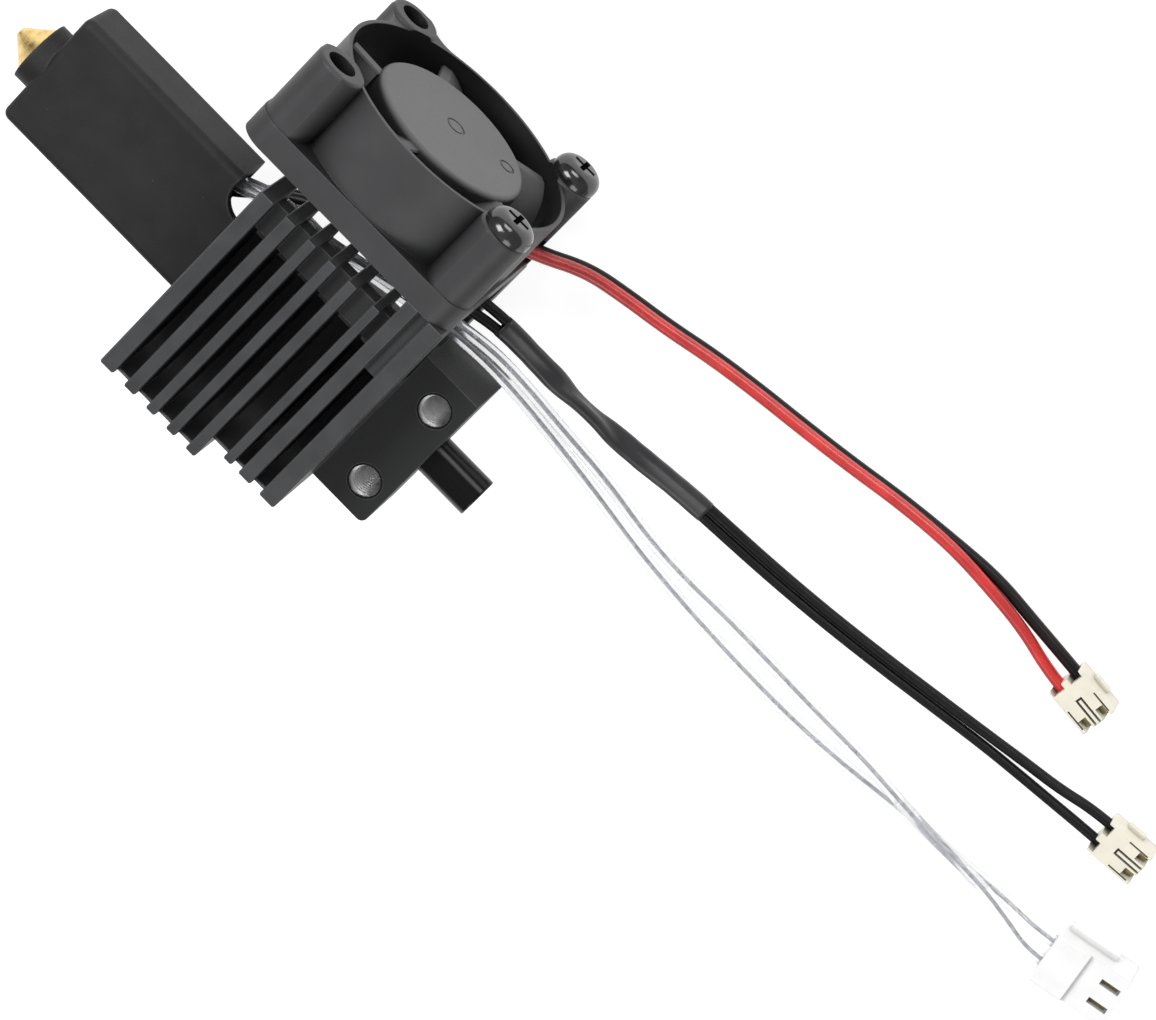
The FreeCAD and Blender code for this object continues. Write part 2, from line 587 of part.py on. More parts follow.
FAN_ROUTE_RED = [
    (8.65, 9.15, 9.15), (13.20, 9.30, 7.20), (17.40, 10.20, 5.40), (21.30, 11.75, 3.68),
    (25.60, 12.30, 2.72), (30.00, 12.80, 2.13), (34.60, 13.75, 1.82), (39.50, 14.55, 1.76),
    (44.50, 15.20, 1.76), (50.00, 16.00, 1.76), (55.80, 17.05, 1.76), (61.60, 17.65, 1.76),
    (66.60, 17.45, 1.72), (71.40, 16.95, 1.55), (75.56, 15.83, 1.40), (77.75, 15.64, 1.40),
]
FAN_ROUTE_BLACK = [
    (8.65, 9.15, 7.90), (13.20, 9.30, 5.95), (17.40, 10.20, 4.15), (21.30, 11.75, 2.48),
    (25.60, 12.30, 1.53), (30.00, 12.80, 0.94), (34.60, 13.75, 0.63), (39.50, 14.55, 0.59),
    (44.50, 15.20, 0.59), (50.00, 16.00, 0.59), (55.80, 17.05, 0.59), (61.60, 17.75, 0.59),
    (66.60, 18.25, 0.65), (71.40, 18.00, 1.00), (75.74, 17.83, 1.40), (77.93, 17.64, 1.40),
]


def thermistor_sleeve():
    path, _ = lead_path(SLEEVE_ROUTE)
    start = Vector(*SLEEVE_ROUTE[0])
    direction = Vector(*SLEEVE_ROUTE[1]) - start
    skins = []
    for diameter in (SLEEVE_OUTER, SLEEVE_INNER):
        section = Part.Wire(Part.makeCircle(diameter / 2, start, direction))
        skins.append(Part.Solid(path.makePipeShell([section], True, False)))
    return skins[0].cut(skins[1])


# ---- plugs, drawn with the wire side at x = 0 and the mating end at +x ----
def placed(shape, origin, angle):
    shape.rotate(Vector(0, 0, 0), Vector(0, 0, 1), angle)
    shape.translate(Vector(*origin))
    return shape


def wire_holes(spacing, radius, depth, height):
    return [cylinder_x(radius, -1.0, depth, side * spacing / 2, height) for side in (-1, 1)]


def small_plug_housing(wire_diameter):
    plug = SMALL_PLUG
    length, half, height = plug["length"], plug["width"] / 2, plug["height"]
    low, high = plug["cavity"]
    wide = plug["cavity_half_width"]
    body = box(0.0, length, -half, half, 0.0, height)
    body = body.makeFillet(0.15, body.Edges)
    for side in (-1, 1):
        rib = sorted((side * (half - 0.2), side * (half + 0.35)))
        body = body.fuse(box(*plug["rib"], *rib, 0.5, 1.3))
    radius = wire_diameter / 2 + WIRE_ROOM
    for hole in wire_holes(plug["pitch"], radius, plug["entry"], plug["wire_height"]):
        body = body.cut(hole)
    for side in (-1, 1):
        middle = side * plug["pitch"] / 2
        body = body.cut(box(-1, plug["notch"], middle - radius, middle + radius,
                            plug["wire_height"], height + 1))
        body = body.cut(box(plug["contact_start"], length + 1, middle - wide, middle + wide, low, high))
        body = body.cut(box(length - 1.2, length + 1, middle - wide, middle + wide,
                            low + 0.1, height + 1))
        body = body.cut(box(2.4, length - 0.4, side * 1.52 - 0.08, side * 1.52 + 0.08,
                            high, height + 1))
    tongue = box(2.0, length + 1, -0.36, 0.36, height - 0.7, height + 1)
    tongue = tongue.cut(box(2.2, length + 1, -0.14, 0.14, height - 0.8, height + 1))
    return body.cut(tongue).removeSplitter()


def small_plug_contacts():
    contacts = []
    wall = SMALL_PLUG["contact_wall"]
    low, high = SMALL_PLUG["cavity"]
    wide = SMALL_PLUG["cavity_half_width"]
    start, end = SMALL_PLUG["contact_start"], SMALL_PLUG["length"] - 0.3
    for side in (-1, 1):
        middle = side * SMALL_PLUG["pitch"] / 2
        shell = box(start, end, middle - wide, middle + wide, low, high)
        hollow = box(start + 0.8, end + 1, middle - wide + wall, middle + wide - wall,
                     low + wall, high - wall)
        contacts.append(shell.cut(hollow))
    return Part.makeCompound(contacts)


def heater_plug_housing():
    length, half, height = HEATER_PLUG["length"], HEATER_PLUG["width"] / 2, HEATER_PLUG["height"]
    body = box(0.0, length, -half, half, 0.0, height)
    body = body.makeFillet(0.25, body.Edges)
    body = body.cut(box(3.4, length + 1, -half - 1, half + 1, height - 0.5, height + 1))
    body = body.fuse(box(0.6, 5.6, half - 0.2, half + 0.5, 1.2, 2.4))
    for hole in wire_holes(HEATER_PLUG["pitch"], HEATER_WIRE / 2 + WIRE_ROOM, HEATER_PLUG["entry"],
                           HEATER_PLUG["wire_height"]):
        body = body.cut(hole)
    for side in (-1, 1):
        middle = side * HEATER_PLUG["pitch"] / 2
        body = body.cut(box(2.0, length + 1, middle - 0.6, middle + 0.6, 2.2, 3.6))
        body = body.cut(box(length - 2.4, length - 0.4, middle - 0.3, middle + 0.3, 3.5, height + 1))
    return body.removeSplitter()


def heater_plug_contacts():
    contacts = []
    for side in (-1, 1):
        middle = side * HEATER_PLUG["pitch"] / 2
        shell = box(2.0, 7.2, middle - 0.6, middle + 0.6, 2.2, 3.6)
        contacts.append(shell.cut(box(3.2, 8.0, middle - 0.4, middle + 0.4, 2.4, 3.4)))
    return Part.makeCompound(contacts)


RIGID = {
    "nozzle": nozzle,
    "heater_block": heater_block,
    "ceramic_heater": ceramic_heater,
    "heater_clip": heater_clip,
    "thermistor": thermistor,
    "silicone_sock": silicone_sock,
    "heat_break": heat_break,
    "heatsink": heatsink,
    "inlet_tube": inlet_tube,
    "thread_inserts": thread_inserts,
    "fan_frame": fan_frame,
    "fan_rotor": fan_rotor,
    "fan_shaft": fan_shaft,
    "fan_retaining_clip": fan_retaining_clip,
    "fan_magnet": fan_magnet,
    "fan_bearing": lambda: ring_y(BEARING_R, SHAFT_R + 0.03, 15.3, 20.6),
    "fan_stator_core": fan_stator_core,
    "fan_windings": fan_windings,
    "fan_circuit_board": lambda: ring_y(BOARD_R, STATOR_BORE_R + FIT, FAN_BASE + 1.0, FAN_BASE + 1.8),
    "fan_screws": fan_screws,
}
LEADS = {
    "heater_wire_a": (HEATER_ROUTE_A, HEATER_WIRE),
    "heater_wire_b": (HEATER_ROUTE_B, HEATER_WIRE),
    "thermistor_wire_a": (THERMISTOR_ROUTE_A, THERMISTOR_WIRE),
    "thermistor_wire_b": (THERMISTOR_ROUTE_B, THERMISTOR_WIRE),
    "fan_wire_red": (FAN_ROUTE_RED, FAN_WIRE),
    "fan_wire_black": (FAN_ROUTE_BLACK, FAN_WIRE),
}

os.makedirs("parts", exist_ok=True)
for node, make in RIGID.items():
    export(make(), node)
for node, (route, diameter) in LEADS.items():
    export(tube(node, route, diameter), node, in_row_frame=True)
export(thermistor_sleeve(), "thermistor_sleeve", in_row_frame=True)
export(placed(small_plug_housing(FAN_WIRE), *FAN_PLUG_AT), "fan_plug_housing", True)
export(placed(small_plug_contacts(), *FAN_PLUG_AT), "fan_plug_contacts", True)
export(placed(small_plug_housing(THERMISTOR_WIRE), *THERMISTOR_PLUG_AT),
       "thermistor_plug_housing", True)
export(placed(small_plug_contacts(), *THERMISTOR_PLUG_AT), "thermistor_plug_contacts", True)
export(placed(heater_plug_housing(), *HEATER_PLUG_AT), "heater_plug_housing", True)
export(placed(heater_plug_contacts(), *HEATER_PLUG_AT), "heater_plug_contacts", True)
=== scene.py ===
import json
import math

import bmesh
import bpy
from mathutils import Matrix, Vector


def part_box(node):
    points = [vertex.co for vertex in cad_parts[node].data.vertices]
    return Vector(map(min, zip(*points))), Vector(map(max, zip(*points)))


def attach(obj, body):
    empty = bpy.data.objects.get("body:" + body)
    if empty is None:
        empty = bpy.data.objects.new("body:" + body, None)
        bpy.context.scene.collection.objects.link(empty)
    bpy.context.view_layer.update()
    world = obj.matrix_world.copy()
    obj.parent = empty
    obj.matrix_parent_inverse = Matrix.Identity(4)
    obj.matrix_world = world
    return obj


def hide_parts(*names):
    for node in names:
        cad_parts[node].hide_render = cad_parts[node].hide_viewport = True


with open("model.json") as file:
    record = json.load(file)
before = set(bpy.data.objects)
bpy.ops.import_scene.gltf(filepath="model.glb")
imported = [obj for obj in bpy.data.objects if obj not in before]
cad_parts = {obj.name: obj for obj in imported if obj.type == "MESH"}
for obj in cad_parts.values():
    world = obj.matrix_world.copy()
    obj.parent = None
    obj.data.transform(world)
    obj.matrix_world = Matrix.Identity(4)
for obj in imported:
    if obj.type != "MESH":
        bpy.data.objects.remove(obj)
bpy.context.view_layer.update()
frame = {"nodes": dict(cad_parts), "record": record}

MM = 0.001

# ---- camera, light and floor, in metres unless a comment says otherwise ----
CAMERA_RIGHT = (0.6992, 0.6563, -0.2837)
CAMERA_FORWARD = (0.0101, -0.4058, -0.9139)
CAMERA_PLACE = (31.52, 178.50, 416.97)      # mm
CAMERA_SENSOR = 36.0                        # mm
CAMERA_LENS = 155.7                         # mm
HORIZON = 0.22
ZENITH = 0.40
SOFTBOX_TARGET = (0.01, 0.0, 0.01)
SOFTBOXES = [                # name, place, size, power in watts
    ("key", (-0.28, 0.10, 0.50), (0.30, 0.30), 2.4),
    ("fill", (0.30, -0.30, 0.45), (0.35, 0.35), 1.0),
    ("side", (-0.05, 0.50, 0.28), (0.30, 0.20), 1.0),
]
FLOOR_HALF = 2.5
FLOOR_DROP = 0.02            # mm below the part, so that the two don't share a surface
FLOOR_GLOW = 0.88

# ---- where a material changes, or where its painted light and shade begin, in the part's millimetres ----
FAN_AXIS = (4.65, 12.5)      # the fan's shaft, along X and Z
# Inside this wall the fan plastic gets painted shade.
BARREL_WALL = (11.95, 12.0)  # from the shaft
# Above this the hub's top is painted paler, as light.
HUB_TOP = (15.3, 15.7)       # along Y
# Above this the insert's end is painted dark, as shade.
INSERT_TOP = (16.48, 16.56)  # along Z
BLOCK_FACE = (17.0, 17.4)    # along X
BEVEL_SAMPLES = 6
HOLLOW_SAMPLES = 8

# ---- the thermistor's sleeve, in millimetres ----
SLEEVE_START = 19.6          # along X
SLEEVE_END = 44.6
SLEEVE_WIDTH = 2.16
SLEEVE_HEIGHT = 1.30
SLEEVE_INSIDE = 0.90         # share of the outside
SLEEVE_SIDES = 28
SLEEVE_PINCH = 0.22          # how far the middle sinks between the two wires
SLEEVE_PINCH_SPREAD = 0.35
SLEEVE_ROUNDING = (0.80, 0.85)
SLEEVE_RIPPLES = ((0.012, 0.5), (0.008, 1.3))   # depth and turn per point

# ---- the threads in the two inserts, in millimetres ----
INSERT_SPACING = 9.6
INSERT_BORE_R = 1.5
THREAD_PITCH = 0.5
THREAD_DEPTH = 0.26
THREAD_STEPS = 40            # per turn
THREAD_FADE_STEPS = 8        # at each end
THREAD_FADE_LEAST = 0.05     # share of the depth
THREAD_INSET = 0.3           # above the insert's lower end
THREAD_TURNS_SHORT = 1.2     # turns left off the insert's length
THREAD_ROOT = 0.05           # sunk into the insert
THREAD_ROOT_HALF = 0.2
THREAD_CREST_HALF = 0.03


# ---- camera, light and floor ----
def make_camera():
    """A long lens above the object, leaning towards the fan side and rolled about its view."""
    right = Vector(CAMERA_RIGHT).normalized()
    forward = Vector(CAMERA_FORWARD).normalized()
    down = forward.cross(right).normalized()
    right = down.cross(forward).normalized()
    turn = Matrix((right, -down, -forward)).transposed().to_4x4()
    data = bpy.data.cameras.new("camera")
    data.sensor_width = CAMERA_SENSOR
    data.lens = CAMERA_LENS
    camera = bpy.data.objects.new("camera", data)
    camera.matrix_world = Matrix.Translation(Vector(CAMERA_PLACE) * MM) @ turn
    bpy.context.collection.objects.link(camera)
    bpy.context.scene.camera = camera


def make_light(name, place, size, power):
    """A rectangular softbox that faces the part."""
    data = bpy.data.lights.new(name, "AREA")
    data.shape = "RECTANGLE"
    data.size, data.size_y = size
    data.energy = power
    lamp = bpy.data.objects.new(name, data)
    lamp.location = place
    aim = Vector(SOFTBOX_TARGET) - Vector(place)
    lamp.rotation_euler = aim.to_track_quat("-Z", "Y").to_euler()
    bpy.context.collection.objects.link(lamp)


def make_studio():
    """A soft white tent: dim at the horizon, brighter overhead, with three softboxes."""
    world = bpy.data.worlds.new("studio")
    world.use_nodes = True
    nodes, links = world.node_tree.nodes, world.node_tree.links
    direction = nodes.new("ShaderNodeTexCoord").outputs["Generated"]
    split = nodes.new("ShaderNodeSeparateXYZ")
    links.new(direction, split.inputs["Vector"])
    ramp = nodes.new("ShaderNodeValToRGB")
    low, high = ramp.color_ramp.elements
    low.color = (HORIZON, HORIZON, HORIZON, 1.0)
    high.color = (ZENITH, ZENITH, ZENITH, 1.0)
    links.new(split.outputs["Z"], ramp.inputs["Fac"])
    links.new(ramp.outputs["Color"], nodes["Background"].inputs["Color"])
    bpy.context.scene.world = world
    bpy.context.scene.view_settings.view_transform = "Standard"
    for name, place, size, power in SOFTBOXES:
        make_light(name, place, size, power)


def make_floor():
    """White paper, lit from behind like a product table, so that shadows stay faint."""
    mesh = bpy.data.meshes.new("floor")
    corners = [(x * FLOOR_HALF, y * FLOOR_HALF, 0) for x, y in ((-1, -1), (1, -1), (1, 1), (-1, 1))]
    mesh.from_pydata(corners, [], [(0, 1, 2, 3)])
    floor = bpy.data.objects.new("floor", mesh)
    floor.location.z = -FLOOR_DROP * MM
    bpy.context.collection.objects.link(floor)
    dark, pale = (0.34, 0.34, 0.34), (0.36, 0.36, 0.36)
    skin = Skin("floor_paper", pale, 0.95)
    skin.feed("Base Color", skin.ramp(skin.noise(0.4), [(0.3, dark), (0.7, pale)]))
    white = (1.0, 1.0, 1.0, 1.0)
    skin.set(Specular_IOR_Level=0.1, Emission_Color=white, Emission_Strength=FLOOR_GLOW)
    mesh.materials.append(skin.material)


# ---- materials ----
class Skin:
    """A procedural material under construction: one Principled shader and what feeds it."""

    def __init__(self, name, colour, roughness, metallic=0.0):
        self.material = bpy.data.materials.new(name)
        self.material.use_nodes = True
        self.nodes = self.material.node_tree.nodes
        self.links = self.material.node_tree.links
        self.shader = self.nodes["Principled BSDF"]
        self.place = self.nodes.new("ShaderNodeTexCoord").outputs["Object"]
        self.set(Metallic=metallic, Roughness=roughness, Base_Color=(*colour, 1.0))

    def set(self, **values):
        """Sets constants on the shader's own sockets."""
        for name, value in values.items():
            self.shader.inputs[name.replace("_", " ")].default_value = value
        return self

    def feed(self, name, socket):
        self.links.new(socket, self.shader.inputs[name])
        return self

    def node(self, kind, **inputs):
        made = self.nodes.new(kind)
        for name, value in inputs.items():
            socket = made.inputs[name.replace("_", " ")]
            if isinstance(value, bpy.types.NodeSocket):
                self.links.new(value, socket)
            else:
                socket.default_value = value
        return made

    def noise(self, size_mm, detail=4.0, stretch=None):
        """Noise whose features are about size_mm across, longer where stretch is below 1."""
        place = self.place
        if stretch is not None:
            place = self.node("ShaderNodeMapping", Vector=place, Scale=stretch).outputs["Vector"]
        scale = 1.0 / (size_mm * MM)
        made = self.node("ShaderNodeTexNoise", Vector=place, Scale=scale, Detail=detail)
        return made.outputs["Fac"]

    def along(self, axis, start_mm, end_mm):
        """0 up to start_mm along an axis of the part and 1 from end_mm on."""
        split = self.node("ShaderNodeSeparateXYZ", Vector=self.place)
        return self.spread(split.outputs[axis], 0.0, 1.0, start_mm * MM, end_mm * MM)

    def from_axis(self, x_mm, z_mm, start_mm, end_mm):
        """0 within start_mm of an axis along Y and 1 outside end_mm."""
        flat = self.node("ShaderNodeMapping", Vector=self.place, Scale=(1.0, 0.0, 1.0),
                         Location=(-x_mm * MM, 0.0, -z_mm * MM))
        span = self.measure("LENGTH", flat.outputs["Vector"])
        return self.spread(span, 0.0, 1.0, start_mm * MM, end_mm * MM)

    def measure(self, operation, *vectors):
        """The number that a vector operation gives, such as a length or a dot product."""
        made = self.nodes.new("ShaderNodeVectorMath")
        made.operation = operation
        for vector, socket in zip(vectors, made.inputs):
            self.links.new(vector, socket)
        return made.outputs["Value"]

    def ramp(self, value, stops):
        """Colours from (position, colour) stops."""
        made = self.node("ShaderNodeValToRGB", Fac=value)
        elements = made.color_ramp.elements
        while len(elements) < len(stops):
            elements.new(0.5)
        for element, (position, colour) in zip(elements, stops):
            element.position = position
            element.color = (*colour, 1.0)
        return made.outputs["Color"]

    def mottle(self, value, colour, low, high, start=0.3, end=0.7):
        """A colour whose brightness drifts between low and high times its own."""
        return self.ramp(value, [(start, shade(colour, low)), (end, shade(colour, high))])

    def spread(self, value, low, high, start=0.3, end=0.7):
        """Numbers from low to high as value goes from start to end."""
        made = self.node("ShaderNodeMapRange", Value=value, From_Min=start, From_Max=end,
                         To_Min=low, To_Max=high)
        return made.outputs["Result"]

    def mix(self, factor, first, second, blend="MIX"):
        """Colour first where factor is 0 and second where it is 1, or the two multiplied."""
        made = self.nodes.new("ShaderNodeMix")
        made.data_type = "RGBA"
        made.blend_type = blend
        for index, value in ((0, factor), (6, first), (7, second)):
            if isinstance(value, bpy.types.NodeSocket):
                self.links.new(value, made.inputs[index])
            elif isinstance(value, tuple):
                made.inputs[index].default_value = (*value, 1.0)
            else:
                made.inputs[index].default_value = value
        return made.outputs[2]

    def rounded(self, radius_mm):
        """The surface normal with its edges rounded."""
        made = self.node("ShaderNodeBevel", Radius=radius_mm * MM)
        made.samples = BEVEL_SAMPLES
        return made.outputs["Normal"]

    def edges(self, width_mm):
        """1 on sharp edges and 0 elsewhere: how far the rounded normal is from the true one."""
        true_normal = self.nodes.new("ShaderNodeNewGeometry").outputs["Normal"]
        dot = self.measure("DOT_PRODUCT", self.rounded(width_mm), true_normal)
        return self.spread(dot, 1.0, 0.0, 0.80, 0.985)

    def patchy_edges(self, width_mm, patch_mm, share=0.5):
        """Edges broken into patches by noise: abrasion on the sock, a painted highlight on the fan,
        and partly abrasion, partly painted highlight on the heatsink.
        """
        return self.mix(share, self.edges(width_mm), self.noise(patch_mm), "MULTIPLY")

    def painted_shade_mask(self, reach_mm, deep=0.25, open_at=0.9):
        """0 deep in corners and slots, where light doesn't reach, and 1 in the open: the mask for
        painted shade.
        """
        shadow = self.node("ShaderNodeAmbientOcclusion", Distance=reach_mm * MM)
        shadow.samples = HOLLOW_SAMPLES
        return self.spread(shadow.outputs["AO"], 0.0, 1.0, deep, open_at)

    def bump(self, heights, round_mm=0.0):
        """Bumps from (value, depth in mm) pairs, over edges rounded by round_mm."""
        normal = self.rounded(round_mm) if round_mm else None
        for value, depth in heights:
            made = self.node("ShaderNodeBump", Height=value, Distance=depth * MM)
            if normal is not None:
                self.links.new(normal, made.inputs["Normal"])
            normal = made.outputs["Normal"]
        return self.feed("Normal", normal)


def shade(colour, factor):
    """A colour made brighter or darker, never past white."""
    return tuple(min(1.0, channel * factor) for channel in colour)


def finish(name, colour, roughness, metallic=0.0, mottle_mm=2.0, mottle=0.12, grain_mm=0.12,
           grain_depth=0.004, grain_stretch=None, round_mm=0.08, hollow_shade=1.0, reach_mm=4.0):
    """A moulded, cast or machined surface: slow mottling, fine grain and, when asked, painted shade
    darkening its corners and slots.
    """
    skin = Skin(name, colour, roughness, metallic)
    slow = skin.noise(mottle_mm)
    fine = skin.noise(grain_mm, 2.0, grain_stretch)
    body = skin.mottle(slow, colour, 1 - mottle, 1 + mottle)
    # Painted shade: corners and slots darkened by the given factor.
    if hollow_shade != 1.0:
        body = skin.mix(skin.painted_shade_mask(reach_mm), shade(colour, hollow_shade), body)
    skin.feed("Base Color", body)
    skin.feed("Roughness", skin.spread(fine, roughness * 0.85, min(1.0, roughness * 1.15)))
    return skin.bump([(fine, grain_depth), (slow, grain_depth)], round_mm)


def fan_plastic():
    """Moulded black plastic, satin, with a painted highlight on its edges, painted shade in its
    corners, and painted shade making it almost black inside the barrel.
    """
    colour = (0.036, 0.036, 0.038)
    skin = Skin("fan_plastic", colour, 0.45)
    fine, slow = skin.noise(0.09, 2.0), skin.noise(4.0)
    # The three colours are a painted edge highlight, painted shade for corners and painted shade
    # for inside the barrel.
    abrasion_and_painted_highlight, shadowed, inside = shade(colour, 3.2), shade(colour, 0.22), shade(colour, 0.12)
    body = skin.mottle(slow, colour, 0.88, 1.12)
    # Painted highlight: brighter edges, broken into patches.
    body = skin.mix(skin.patchy_edges(0.14, 0.5), body, abrasion_and_painted_highlight)
    # Painted shade in corners and recesses.
    body = skin.mix(skin.painted_shade_mask(7.0, 0.25, 0.9), shadowed, body)
    # Painted shade: almost black inside the barrel wall.
    body = skin.mix(skin.from_axis(*FAN_AXIS, *BARREL_WALL), inside, body)
    skin.feed("Base Color", body)
    skin.feed("Roughness", skin.spread(fine, 0.40, 0.54))
    return skin.bump([(fine, 0.006), (slow, 0.004)], 0.10).set(Specular_IOR_Level=0.4)


def rotor_plastic():
    """The same plastic on the rotor, with painted light making the flat top of the hub paler and
    painted shade in its corners.
    """
    # The pale colour is painted light on the hub's top; the faded one is tone that drifts at
    # random.
    colour, pale, faded = (0.060, 0.060, 0.062), (0.105, 0.105, 0.108), (0.075, 0.075, 0.077)
    skin = Skin("rotor_plastic", colour, 0.5)
    fine, slow = skin.noise(0.09, 2.0), skin.noise(5.0)
    # Painted light: the hub's flat top, which faces the side softbox, is paler.
    body = skin.mix(skin.along("Y", *HUB_TOP), colour, pale)
    body = skin.mix(skin.spread(slow, 0.0, 0.25), body, faded)
    # Painted shade in corners and recesses.
    body = skin.mix(skin.painted_shade_mask(6.0, 0.2, 0.85), shade(colour, 0.10), body)
    skin.feed("Base Color", body)
    skin.feed("Roughness", skin.spread(fine, 0.44, 0.58))
    return skin.bump([(fine, 0.006), (slow, 0.003)], 0.10).set(Specular_IOR_Level=0.4)


def threaded_steel():
    """Steel inside the inserts, with painted shade making the end that faces up nearly black."""
    # The second colour is painted shade for the insert's upper end.
    colour, painted_rim_shade = (0.55, 0.55, 0.55), (0.02, 0.02, 0.02)
    skin = Skin("insert_steel", colour, 0.34, 1.0)
    slow = skin.noise(0.8)
    body = skin.mottle(slow, colour, 0.8, 1.15)
    # Painted shade: nearly black from INSERT_TOP up.
    body = skin.mix(skin.along("Z", *INSERT_TOP), body, painted_rim_shade)
    skin.feed("Base Color", body)
    skin.feed("Roughness", skin.spread(slow, 0.28, 0.42))
    return skin.bump([(slow, 0.01)], 0.04)


def silicone():
    """Matte moulded rubber with a faint bloom and small specks of dust."""
    colour, dust, rubbed = (0.0085, 0.0085, 0.009), (0.09, 0.09, 0.09), (0.05, 0.05, 0.052)
    skin = finish("silicone", colour, 0.62, mottle_mm=3.0, mottle=0.25, grain_mm=0.10,
                  grain_depth=0.008, round_mm=0.0)
    bloom = skin.mottle(skin.noise(3.0), colour, 1.0, 1.6, 0.35)
    specks = skin.spread(skin.noise(0.35, 1.0), 0.0, 0.35, 0.76, 0.84)
    body = skin.mix(specks, bloom, dust)
    body = skin.mix(skin.patchy_edges(0.5, 1.2, 0.6), body, rubbed)
    skin.feed("Base Color", body)
    return skin.set(Specular_IOR_Level=0.35)


def anodised():
    """Black anodising over milled metal: fine tool lines along the fins, darker on the block,
    painted shade in the slots, and bright edges that are partly abrasion, partly painted highlight.
    """
    colour, block_colour = (0.038, 0.039, 0.041), (0.009, 0.0095, 0.010)
    # shadowed is painted shade; the bright edge colour is partly abrasion, partly painted
    # highlight.
    shadowed, abrasion_and_painted_highlight = (0.016, 0.016, 0.0165), (0.16, 0.16, 0.165)
    skin = Skin("anodised", colour, 0.5)
    lines = skin.noise(0.10, 2.0, (1.0, 0.06, 1.0))
    grain = skin.noise(0.06, 2.0)
    body = skin.mottle(skin.noise(3.0), colour, 0.8, 1.2)
    # Darker on the block, past BLOCK_FACE along X.
    body = skin.mix(skin.along("X", *BLOCK_FACE), body, block_colour)
    # Painted shade in the slots and corners.
    body = skin.mix(skin.painted_shade_mask(5.0, 0.20, 0.85), shadowed, body)
    # Bright edges: partly abrasion, partly painted highlight.
    body = skin.mix(skin.patchy_edges(0.16, 0.8, 0.6), body, abrasion_and_painted_highlight)
    skin.feed("Base Color", body)
    skin.feed("Roughness", skin.spread(lines, 0.42, 0.60))
    return skin.bump([(lines, 0.006), (grain, 0.003)], 0.10).set(Specular_IOR_Level=0.4)


def turned_brass():
    """Brass turned on a lathe: fine rings round the filament path."""
    colour = (0.78, 0.56, 0.22)
    skin = Skin("brass", colour, 0.22, 1.0)
    rings = skin.noise(0.05, 2.0, (1.0, 0.02, 0.02))
    slow = skin.noise(0.7)
    skin.feed("Base Color", skin.mottle(slow, colour, 0.72, 1.12, 0.35, 0.65))
    skin.feed("Roughness", skin.spread(slow, 0.16, 0.30))
    return skin.bump([(rings, 0.004)], 0.05)


def shiny_black():
    """Black oxide on a steel screw, oily and nearly mirror smooth."""
    colour, dark, pale = (0.010, 0.010, 0.011), (0.006, 0.006, 0.007), (0.016, 0.016, 0.017)
    skin = Skin("black_oxide", colour, 0.14)
    slow = skin.noise(0.5)
    skin.feed("Base Color", skin.ramp(slow, [(0.3, dark), (0.7, pale)]))
    skin.feed("Roughness", skin.spread(slow, 0.10, 0.20))
    return skin.bump([(slow, 0.004)], 0.06).set(Specular_IOR_Level=0.9)


def clear_insulation():
    """Milky see-through insulation over a stranded core."""
    colour, milky, clear = (0.97, 0.98, 0.99), (0.93, 0.94, 0.95), (0.99, 0.99, 1.0)
    skin = Skin("heater_insulation", colour, 0.22)
    slow = skin.noise(1.5, 2.0)
    skin.feed("Base Color", skin.ramp(slow, [(0.3, milky), (0.7, clear)]))
    skin.feed("Roughness", skin.spread(slow, 0.18, 0.30))
    skin.bump([(slow, 0.003)])
    return skin.set(Transmission_Weight=0.88, IOR=1.22)


def wire_jacket(name, colour, roughness, gloss):
    """Soft extruded jacket with a faint lengthwise waviness and a satin shine."""
    skin = Skin(name, colour, roughness)
    slow = skin.noise(2.5, 2.0)
    fine = skin.noise(0.12, 2.0, (0.15, 1.0, 1.0))
    skin.feed("Base Color", skin.mottle(slow, colour, 0.85, 1.15))
    skin.feed("Roughness", skin.spread(fine, roughness * 0.85, roughness * 1.2))
    return skin.bump([(slow, 0.012), (fine, 0.003)]).set(Specular_IOR_Level=gloss)


